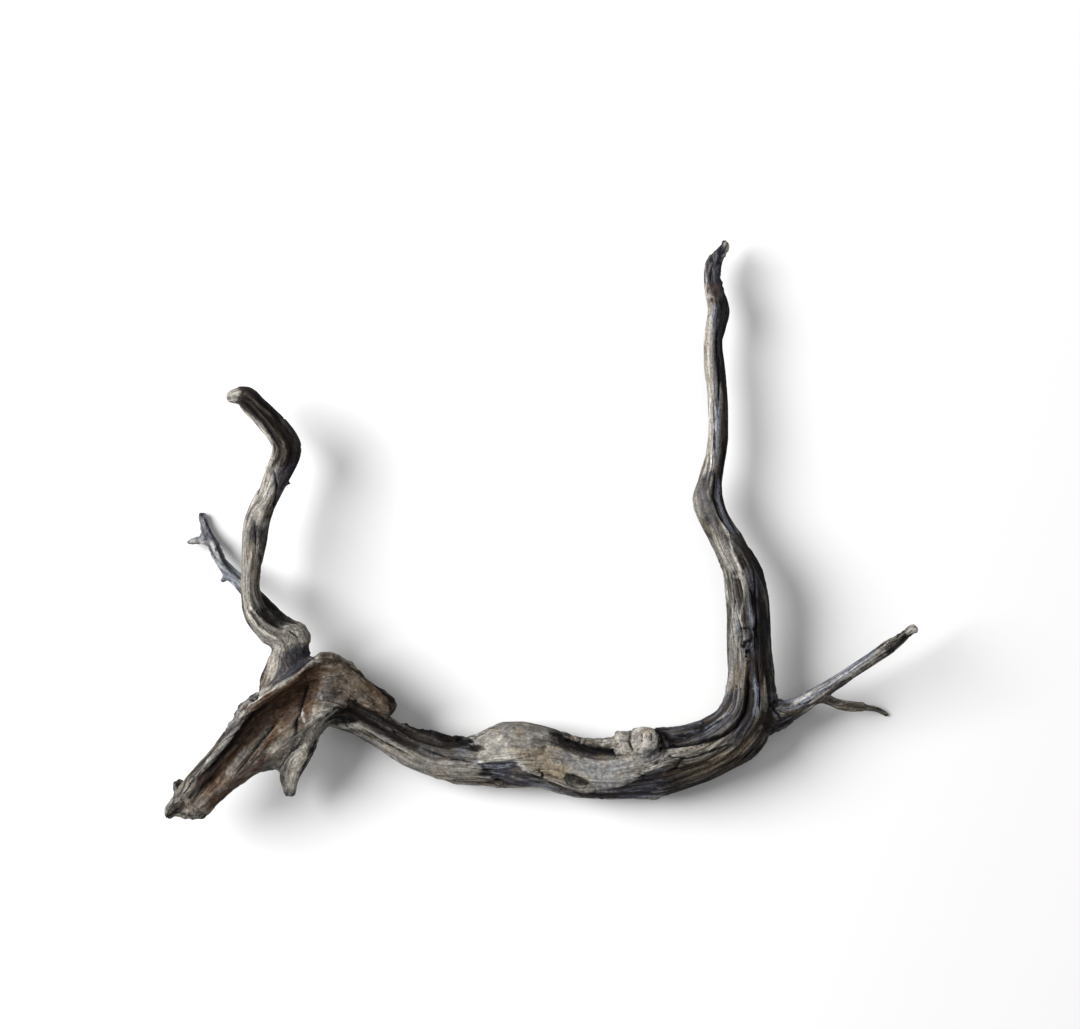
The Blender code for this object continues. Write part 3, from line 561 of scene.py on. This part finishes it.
def noise(points, seed):
    """Lattice noise from -1 to 1: random corner values, blended with an ease curve along each axis.

    The lattice is turned, so that its rows don't line up with the floor or the grain.
    """
    points = points @ LATTICE_TURN
    base = np.floor(points)
    part = ease(points - base)
    total = 0
    for dx in (0, 1):
        for dy in (0, 1):
            for dz in (0, 1):
                weight = (
                    (part[:, 0] if dx else 1 - part[:, 0])
                    * (part[:, 1] if dy else 1 - part[:, 1])
                    * (part[:, 2] if dz else 1 - part[:, 2])
                )
                total = total + weight * corner_value(base + (dx, dy, dz), seed)
    return total


def layered(points, seed, layers=3):
    """Noise added over itself at twice the frequency and half the strength."""
    total, strength = 0, 0
    for i in range(layers):
        total = total + noise(points * 2**i, seed + i) / 2**i
        strength += 1 / 2**i
    return total / strength


def crest(points, seed):
    """Sharp crests at 1 that fall off to 0: one minus the size of a noise."""
    return 1 - np.abs(noise(points, seed)) * 1.6


def near_line(where, line):
    """Distance in mm, seen from above, to a line of points, and how far along it is, from 0 to 1."""
    line = np.array(line, float)
    best = np.full(len(where), 1e9)
    share = np.zeros(len(where))
    legs = np.linalg.norm(np.diff(line, axis=0), axis=1)
    start = np.concatenate([[0], np.cumsum(legs)])
    for i, leg in enumerate(legs):
        to = (line[i + 1] - line[i]) / leg
        along = np.clip((where - line[i]) @ to, 0, leg)
        away = np.linalg.norm(where - line[i] - along[:, None] * to, axis=1)
        nearer = away < best
        best[nearer] = away[nearer]
        share[nearer] = (start[i] + along[nearer]) / start[-1]
    return best, share


def inside(where, outline):
    """Signed distance in millimetres, seen from above, to a closed outline: positive inside it."""
    outline = np.array(outline, float)
    away, _ = near_line(where, np.vstack([outline, outline[:1]]))
    within = np.zeros(len(where), bool)
    for a, b in zip(outline, np.roll(outline, -1, axis=0)):
        crosses = (a[1] > where[:, 1]) != (b[1] > where[:, 1])
        at = a[0] + (where[:, 1] - a[1]) / (b[1] - a[1] + 1e-9) * (b[0] - a[0])
        within ^= crosses & (where[:, 0] < at)
    return np.where(within, away, -away)


# ---- the grain

def smooth_pith(stations):
    """Catmull-Rom curve through a limb's stations, with points along it: place and radius."""
    knots = np.array(stations, float)
    padded = np.vstack([2 * knots[0] - knots[1], knots, 2 * knots[-1] - knots[-2]])
    pieces = []
    for i in range(1, len(padded) - 2):
        p0, p1, p2, p3 = padded[i - 1:i + 3]
        count = max(2, int(np.linalg.norm(p2[:3] - p1[:3]) / PITH_STEP))
        t = np.linspace(0, 1, count, endpoint=False)[:, None]
        pieces.append(0.5 * (2 * p1 + (p2 - p0) * t + (2 * p0 - 5 * p1 + 4 * p2 - p3) * t**2
                             + (3 * p1 - p0 - 3 * p2 + p3) * t**3))
    return np.vstack([*pieces, knots[-1:]])


def carried_frames(curve, side):
    """Tangent and two square directions at each point of a curve, carried along it without twist."""
    along = np.gradient(curve, axis=0)
    along /= np.linalg.norm(along, axis=1)[:, None]
    sides = []
    for direction in along:
        side = side - direction * (side @ direction)
        side = side / np.linalg.norm(side)
        sides.append(side)
    sides = np.array(sides)
    return along, sides, np.cross(along, sides)


def grain_of(points):
    """Grain coordinates of each point, in mm: two across the grain, and the third along it.

    Each limb measures a point from its own pith: sideways, upwards and along. A limb that grows out of
    another takes over the other's numbers where it starts. Where limbs meet, their numbers are blended
    by how many radii away each pith is, which makes the grain flow round the crotch.
    Also gives the radius of the limb that a point belongs to.
    """
    total = np.zeros((len(points), 3))
    radius = np.zeros(len(points))
    weights = np.zeros(len(points))
    starts = {}
    for name, (parent, stations) in PITHS.items():
        run = smooth_pith(stations)
        curve, radii = run[:, :3], run[:, 3]
        steps = np.linalg.norm(np.diff(curve, axis=0), axis=1)
        length = np.concatenate([[0], np.cumsum(steps)])
        offset, side = np.zeros(3), np.array([0.0, 0.0, 1.0])
        if parent:
            other, its_length, its_offset, its_frames = starts[parent]
            nearest = np.argmin(np.linalg.norm(other - curve[0], axis=1))
            gap = curve[0] - other[nearest]
            offset = its_offset + np.array(
                [gap @ its_frames[1][nearest], gap @ its_frames[2][nearest], its_length[nearest]]
            )
            side = its_frames[1][nearest]
        frames = carried_frames(curve, side)
        starts[name] = (curve, length, offset, frames)
        away2 = (points**2).sum(1)[:, None] - 2 * points @ curve.T + (curve**2).sum(1)
        nearest = np.argmin(away2, axis=1)
        gap = points - curve[nearest]
        local = np.stack(
            [
                (gap * frames[1][nearest]).sum(1),
                (gap * frames[2][nearest]).sum(1),
                (gap * frames[0][nearest]).sum(1) + length[nearest],
            ],
            axis=1,
        )
        away = np.sqrt(np.maximum(away2[np.arange(len(points)), nearest], 0)) / radii[nearest]
        weight = np.exp(-GRAIN_HOLD * away**2) + 1e-12
        total += weight[:, None] * (local + offset)
        radius += weight * radii[nearest]
        weights += weight
    return total / weights[:, None], radius / weights


# ---- the skin

def neighbour_middles(values, pairs, count):
    """Mean of each vertex's neighbours' values."""
    total = np.empty_like(values)
    ends = np.concatenate([pairs[:, 0], pairs[:, 1]])
    others = np.concatenate([pairs[:, 1], pairs[:, 0]])
    for axis in range(values.shape[1]):
        total[:, axis] = np.bincount(ends, values[others, axis], len(values))
    return total / count[:, None]


def fine_skin(node):
    """A closed copy of the solid, remeshed finely and with its facets melted away."""
    mesh = node.data.copy()
    wood = bpy.data.objects.new("driftwood_skin", mesh)
    bpy.context.scene.collection.objects.link(wood)
    merge = wood.modifiers.new("merge_corners", "WELD")
    merge.merge_threshold = MERGE_GAP * MM
    skin = wood.modifiers.new("fine_skin", "REMESH")
    skin.mode = "VOXEL"
    skin.voxel_size = FINE_VOXEL * MM
    bake_modifiers(wood)
    mesh = wood.data
    points = vertices_of(mesh)
    pairs = np.empty(len(mesh.edges) * 2, np.int32)
    mesh.edges.foreach_get("vertices", pairs)
    pairs = pairs.reshape(-1, 2)
    count = np.bincount(pairs.ravel(), minlength=len(points))
    for _ in range(FACET_ROUNDS):
        for share in (FACET_SHRINK, FACET_SWELL):
            points += share * (neighbour_middles(points, pairs, count) - points)
    set_vertices(mesh, points)
    return wood


def bake_modifiers(piece):
    """Replaces the piece's mesh by what its modifiers make of it."""
    bpy.context.view_layer.update()
    graph = bpy.context.evaluated_depsgraph_get()
    mesh = bpy.data.meshes.new_from_object(
        piece.evaluated_get(graph), preserve_all_data_layers=True, depsgraph=graph
    )
    piece.modifiers.clear()
    piece.data = mesh


def per_vertex(mesh, field):
    """Three numbers for each vertex: its place in metres ("co") or its direction ("normal")."""
    flat = np.empty(len(mesh.vertices) * 3, np.float32)
    mesh.vertices.foreach_get(field, flat)
    return flat.reshape(-1, 3).astype(float)


def vertices_of(mesh):
    """The vertices' places in millimetres."""
    return per_vertex(mesh, "co") / MM


def set_vertices(mesh, points):
    """Moves the vertices to places in millimetres."""
    mesh.vertices.foreach_set("co", (points * MM).astype(np.float32).ravel())
    mesh.update()


def write_attribute(mesh, name, kind, values):
    """Stores a value for each vertex under a name that the material reads."""
    layer = mesh.attributes.new(name, kind, "POINT")
    field = {"FLOAT": "value", "FLOAT_VECTOR": "vector", "FLOAT_COLOR": "color"}[kind]
    layer.data.foreach_set(field, np.ascontiguousarray(values, np.float32).ravel())


# ---- relief, stains, and painted shade and highlight

def woven(grain):
    """Grain coordinates with the fibres wandering sideways, as they do round knots and old wounds."""
    spread = (WANDER_WIDTH, WANDER_WIDTH, WANDER_LENGTH)
    sideways = np.stack([layered(grain / spread, SEED + 1), layered(grain / spread, SEED + 5)], axis=1)
    return np.hstack([grain[:, :2] + WANDER * sideways, grain[:, 2:]])


def along_grain(fibres, width, length):
    """Grain coordinates scaled so that one unit of noise is so wide and so long."""
    return fibres / (width, width, length)


def fingered(fibres, radius):
    """Wandering in mm for the edge of a stain or a scale: long fingers with the grain, and fine teeth.

    It is less on a thin limb.
    """
    fingers = noise(along_grain(fibres, 2.6, 55), SEED + 60)
    teeth = layered(along_grain(fibres, 1.3, 12), SEED + 62, 2)
    return (FINGER * fingers + TEETH * teeth) * np.clip(radius / 20, 0.15, 1.0)


def calmed(points, normals, edge_wander):
    """How smooth the skin is worn, from 0 for open fibres to 1 for none."""
    calm = np.zeros(len(points))
    for strength, outline in CALM:
        mask = ease(0.5 + (inside(points[:, :2], outline) + edge_wander) / 8)
        calm = np.maximum(calm, strength * mask * facing_up(normals))
    return calm


def facing_up(normals):
    """1 where the skin faces up or sideways, 0 underneath, where marks seen from above don't belong."""
    return ease((normals[:, 2] + 0.25) / 0.35)


def between(height, low, high):
    """1 where a height in mm lies between two others, with soft ends."""
    return ease((height - low) / 2) * ease((high - height) / 2)


def carve(points, normals, fibres, radius, calm):
    """For each vertex: the whole relief in mm, its fibres alone, and how far it lies in a crack."""
    size = np.clip(radius / 17, 0.3, 1.0)
    flute = crest(along_grain(fibres, FLUTE_WIDTH, FLUTE_LENGTH), SEED + 20)
    ridge = crest(along_grain(fibres, RIDGE_WIDTH, RIDGE_LENGTH), SEED + 25)
    fibre = layered(along_grain(fibres, FIBRE_WIDTH, FIBRE_LENGTH), SEED + 30, 2)
    seam = crest(along_grain(fibres, CHECK_SPACING, CHECK_LENGTH), SEED + 40)
    check = ease((seam - 0.86) / 0.14) * ease((noise(points / 24, SEED + 44) + 0.25) / 0.4) * (1 - calm)
    lumps = layered(points / 13, SEED + 50)
    height = FLUTE_DEPTH * (flute - 0.6) + RIDGE_DEPTH * (ridge - 0.6) + FIBRE_DEPTH * fibre
    height = size * (height * (1 - calm) + LUMP_HEIGHT * lumps - CHECK_DEPTH * check)
    fibres_alone = height.copy()
    crack = check * size
    up = facing_up(normals)
    flat = points[:, :2]
    edge_wander = fingered(fibres, radius)
    for rise, edge, outline in SHELVES:
        height += rise * up * ease(0.5 + (inside(flat, outline) + 0.5 * edge_wander) / edge)
    for rough, grain_size, outline in CRUMBLED:
        mask = up * ease(0.5 + (inside(flat, outline) + edge_wander) / 4)
        grains = layered(points / grain_size, SEED + 90, 3)
        pits = ease((noise(points / (0.9 * grain_size), SEED + 95) - 0.42) / 0.2)
        pits = pits * ease(noise(points / 11, SEED + 97) * 4) * max(0.0, rough - 0.6)
        height += mask * (rough * grains - 1.4 * pits)
        crack = np.maximum(crack, mask * pits)
    jitter = 0.5 * layered(points / 5, SEED + 66, 2)
    for half_width, depth, line in CRACKS:
        away, share = near_line(flat, line)
        taper = np.sqrt(np.clip(np.minimum(share, 1 - share) * 6, 0, 1))
        notch = ease(1 - (away + jitter) / (half_width * (0.35 + 0.65 * taper))) * taper * up
        height -= depth * notch
        if depth > 0:
            crack = np.maximum(crack, notch * min(1.0, depth / 1.5))
    return height, fibres_alone, np.clip(crack, 0, 1)


def stain_and_shade(points, normals, fibres, radius, calm, relief, crack):
    """Colour of each vertex: a weathered ground, then the stains, painted shade and painted highlights one
    over the other.
    """
    colours = {name: linear(code) for name, code in PALETTE.items()}
    broad = layered(along_grain(fibres, 7, 90), SEED + 70, 2)
    fine = layered(along_grain(fibres, 2.2, 40), SEED + 73, 2)
    cloud = layered(points / 38, SEED + 75)
    ground = np.empty((len(points), 3))
    ground[:] = colours["grey"]

    def over(name, mask):
        nonlocal ground
        mask = np.clip(mask, 0, 1)[:, None]
        ground = ground * (1 - mask) + colours[name] * mask

    over("tan", 0.9 * ease(0.5 + cloud * 1.4 + broad * 0.6))
    over("silver", 0.6 * ease((broad + 0.5 * fine - 0.1) * 3))
    over("slate", 0.8 * ease((-broad - 0.15 + cloud * 0.3) * 4))
    over("pale", 0.55 * ease((fine - 0.12) * 4))
    over("umber", 0.7 * ease((-fine - 0.12) * 4))
    twig_fibre = layered(along_grain(fibres, 1.5, 22), SEED + 78, 2)
    thin = ease((THIN_LIMB - radius) / 2)
    over("cream", 0.5 * thin * ease((twig_fibre - 0.1) * 5))
    over("black", 0.9 * thin * ease((-twig_fibre - 0.1) * 5))
    up = facing_up(normals)
    flat = points[:, :2]
    edge_wander = fingered(fibres, radius)
    for name, strength, edge, low, high, outline in PATCHES:
        mask = ease(0.5 + (inside(flat, outline) + edge_wander * min(1.0, edge / WIDE_EDGE)) / edge)
        over(name, strength * up * between(points[:, 2], low, high) * mask * (0.85 + 0.5 * fine))
    for name, strength, half_width, low, high, line in STREAKS:
        away, share = near_line(flat, line)
        taper = 0.45 + 0.55 * np.sqrt(np.clip(np.minimum(share, 1 - share) * 5, 0, 1))
        mask = ease(1.35 - (away + 0.3 * edge_wander) / (half_width * taper))
        over(name, strength * up * between(points[:, 2], low, high) * mask)
    blotch = layered(points / 8, SEED + 82)
    speck = layered(points / 2.2, SEED + 86, 2)
    light = ease(ground.mean(axis=1) * 9)
    over("ochre", 0.5 * calm * light * ease((blotch - 0.1) * 5))
    over("grey", 0.5 * calm * light * ease((-blotch - 0.08) * 5))
    over("umber", (0.2 + 0.25 * calm) * ease((-speck - 0.2) * 6))
    over("cream", 0.35 * calm * light * ease((speck - 0.2) * 6))
    # painted shade: umber darkens the grooves of the relief; pale lightens its crests, as bleached wear and
    # painted highlight
    over("umber", 0.8 * ease((-relief - 0.5) / 1.0))
    over("pale", (0.12 + 0.34 * light) * ease((relief - 0.4) / 0.8))
    # painted shade: black fills the checks, pits and cracks
    over("black", 0.95 * ease(crack * 1.6 - 0.2))
    return ground


# ---- the material

def add_node(tree, kind, settings=None, **links):
    """Adds a shader node, with its properties set and its sockets filled from values or other sockets.

    Its kind is the type's name without ShaderNode. A socket is named by its label, or by i and its
    number where labels repeat.
    """
    node = tree.nodes.new("ShaderNode" + kind)
    for key, value in (settings or {}).items():
        setattr(node, key, value)
    for key, value in links.items():
        numbered = key[0] == "i" and key[1:].isdigit()
        socket = node.inputs[int(key[1:]) if numbered else key.replace("_", " ")]
        if isinstance(value, bpy.types.NodeSocket):
            tree.links.new(value, socket)
        else:
            socket.default_value = value
    return node


def bare_driftwood():
    """Sea-worn bare wood: no bark, open fibres, a dry and nearly gloss-free surface.

    The eye gets long light and dark fibres, thin dark lines between them, and a little grit.
    """
    material = bpy.data.materials.new("bare_driftwood")
    material.use_nodes = True
    tree = material.node_tree
    tree.nodes.clear()
    out = add_node(tree, "OutputMaterial")
    # the vertex colour: stains, with painted shade and highlight in it
    stain_and_shade_colour = add_node(tree, "Attribute", {"attribute_name": "stain_and_shade"})
    grain = add_node(tree, "Attribute", {"attribute_name": "grain"}).outputs["Vector"]
    calm = add_node(tree, "Attribute", {"attribute_name": "calm"}).outputs["Fac"]
    place = add_node(tree, "TexCoord").outputs["Object"]
    fibre_place = add_node(tree, "Mapping", Vector=grain, Scale=FIBRE_SCALE).outputs[0]
    line_place = add_node(tree, "Mapping", Vector=grain, Scale=LINE_SCALE).outputs[0]
    fibre = add_node(
        tree, "TexNoise", Vector=fibre_place, Scale=1.0, Detail=4.0, Roughness=0.62
    ).outputs["Fac"]
    line = add_node(
        tree, "TexNoise", Vector=line_place, Scale=1.0, Detail=2.0, Roughness=0.5, Distortion=0.5
    ).outputs["Fac"]
    grit = add_node(
        tree, "TexNoise", Vector=place, Scale=GRIT_SCALE, Detail=3.0, Roughness=0.7
    ).outputs["Fac"]
    off_line = add_node(tree, "Math", {"operation": "SUBTRACT"}, i0=line, i1=0.5).outputs[0]
    from_line = add_node(tree, "Math", {"operation": "ABSOLUTE"}, i0=off_line).outputs[0]
    light_dark = add_node(
        tree, "MapRange", Value=fibre, From_Min=0.3, From_Max=0.7, To_Min=0.35, To_Max=1.65
    ).outputs[0]
    lined = add_node(
        tree, "MapRange", Value=from_line, From_Min=0.0, From_Max=0.035, To_Min=0.35, To_Max=1.05
    ).outputs[0]
    speckle = add_node(
        tree, "MapRange", Value=grit, From_Min=0.3, From_Max=0.65, To_Min=0.6, To_Max=1.35
    ).outputs[0]
    streaked = add_node(tree, "Math", {"operation": "MULTIPLY"}, i0=light_dark, i1=lined).outputs[0]
    softened = add_node(tree, "Mix", Factor=calm, i2=streaked, i3=0.95).outputs[0]
    strength = add_node(tree, "Math", {"operation": "MULTIPLY"}, i0=softened, i1=speckle).outputs[0]
    shaded = add_node(
        tree, "VectorMath", {"operation": "SCALE"}, i0=stain_and_shade_colour.outputs["Color"], Scale=strength
    ).outputs[0]
    raised = add_node(tree, "Math", {"operation": "MULTIPLY_ADD"}, i0=lined, i1=0.5, i2=fibre).outputs[0]
    raised = add_node(tree, "Math", {"operation": "MULTIPLY_ADD"}, i0=grit, i1=0.5, i2=raised).outputs[0]
    bump = add_node(tree, "Bump", Strength=1.0, Distance=BUMP_DEPTH * MM, Height=raised)
    rough = add_node(
        tree, "MapRange", Value=fibre, From_Min=0.3, From_Max=0.7, To_Min=1.0, To_Max=0.82
    ).outputs[0]
    surface = add_node(
        tree, "BsdfPrincipled", Base_Color=shaded, Roughness=rough, Normal=bump.outputs[0],
        IOR=1.45, Specular_IOR_Level=0.2,
    )
    tree.links.new(surface.outputs[0], out.inputs["Surface"])
    return material


# ---- the piece

def driftwood_piece(node):
    """The root, from the solid's fine skin, its relief, and its stains with painted shade and highlight."""
    wood = fine_skin(node)
    mesh = wood.data
    points, normals = vertices_of(mesh), per_vertex(mesh, "normal")
    grain, radius = grain_of(points)
    fibres = woven(grain)
    calm = calmed(points, normals, fingered(fibres, radius))
    height, relief, crack = carve(points, normals, fibres, radius, calm)
    ground = stain_and_shade(points, normals, fibres, radius, calm, relief, crack)
    moved = points + normals * height[:, None]
    resting = points[:, 2] < FOOT_HEIGHT
    moved[:, 2] = np.where(resting, points[:, 2], np.maximum(moved[:, 2], FLOOR_GAP))
    set_vertices(mesh, moved)
    write_attribute(mesh, "grain", "FLOAT_VECTOR", fibres)
    write_attribute(mesh, "calm", "FLOAT", calm)
    write_attribute(mesh, "stain_and_shade", "FLOAT_COLOR", np.hstack([ground, np.ones((len(ground), 1))]))
    thin = wood.modifiers.new("thin_out", "DECIMATE")
    mesh.calc_loop_triangles()
    thin.ratio = min(1.0, SKIN_TRIANGLES / len(mesh.loop_triangles))
    bake_modifiers(wood)
    points = vertices_of(wood.data)
    points[:, 2] = np.maximum(points[:, 2], 0)
    set_vertices(wood.data, points)
    wood.name = "weathered_root"
    wood.data.name = "weathered_root"
    wood.data.shade_smooth()
    wood.data.materials.clear()
    wood.data.materials.append(bare_driftwood())
    return wood


# ---- floor, light and camera

def pale_floor():
    """A plain, matt, nearly white sheet under the piece."""
    bpy.ops.mesh.primitive_plane_add(size=FLOOR_SIZE * MM, location=(0, 0, 0))
    floor = bpy.context.object
    floor.name = "pale_floor"
    material = bpy.data.materials.new("matt_white_sheet")
    material.use_nodes = True
    surface = material.node_tree.nodes["Principled BSDF"]
    surface.inputs["Base Color"].default_value = (*linear(FLOOR_COLOUR), 1)
    surface.inputs["Roughness"].default_value = 0.95
    surface.inputs["Specular IOR Level"].default_value = 0.1
    floor.data.materials.append(material)


def soft_light(name, lamp_from, distance, size, power):
    """A round lamp that looks at the origin, from a distance in metres in the direction given."""
    lamp = bpy.data.lights.new(name, "AREA")
    lamp.shape = "DISK"
    lamp.size = size
    lamp.energy = power
    held = bpy.data.objects.new(name, lamp)
    bpy.context.scene.collection.objects.link(held)
    direction = Vector(lamp_from).normalized()
    held.location = direction * distance
    held.rotation_euler = direction.to_track_quat("Z", "Y").to_euler()


def studio():
    """A large lamp on the left, a weak one overhead, and a white surround."""
    soft_light("key_lamp", KEY_FROM, KEY_DISTANCE, KEY_SIZE, KEY_POWER)
    soft_light("top_lamp", TOP_FROM, TOP_DISTANCE, TOP_SIZE, TOP_POWER)
    world = bpy.data.worlds.new("pale_surround")
    world.use_nodes = True
    back = world.node_tree.nodes["Background"]
    back.inputs["Color"].default_value = (1, 1, 1, 1)
    back.inputs["Strength"].default_value = SURROUND
    bpy.context.scene.world = world
    bpy.context.scene.view_settings.view_transform = "Standard"
    bpy.context.scene.view_settings.look = "None"


def camera_above():
    """Looks straight down, at a point a little beyond the middle of the piece."""
    lens = bpy.data.cameras.new("camera_above")
    lens.lens = LENS
    lens.sensor_width = SENSOR
    lens.sensor_fit = "HORIZONTAL"
    lens.clip_end = 20
    held = bpy.data.objects.new("camera_above", lens)
    bpy.context.scene.collection.objects.link(held)
    held.location = (VIEW_X * MM, VIEW_Y * MM, VIEW_HEIGHT * MM)
    bpy.context.scene.camera = held


root = driftwood_piece(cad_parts["driftwood"])
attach(root, "root")
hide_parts("driftwood")
pale_floor()
studio()
camera_above()

bpy.context.view_layer.update()
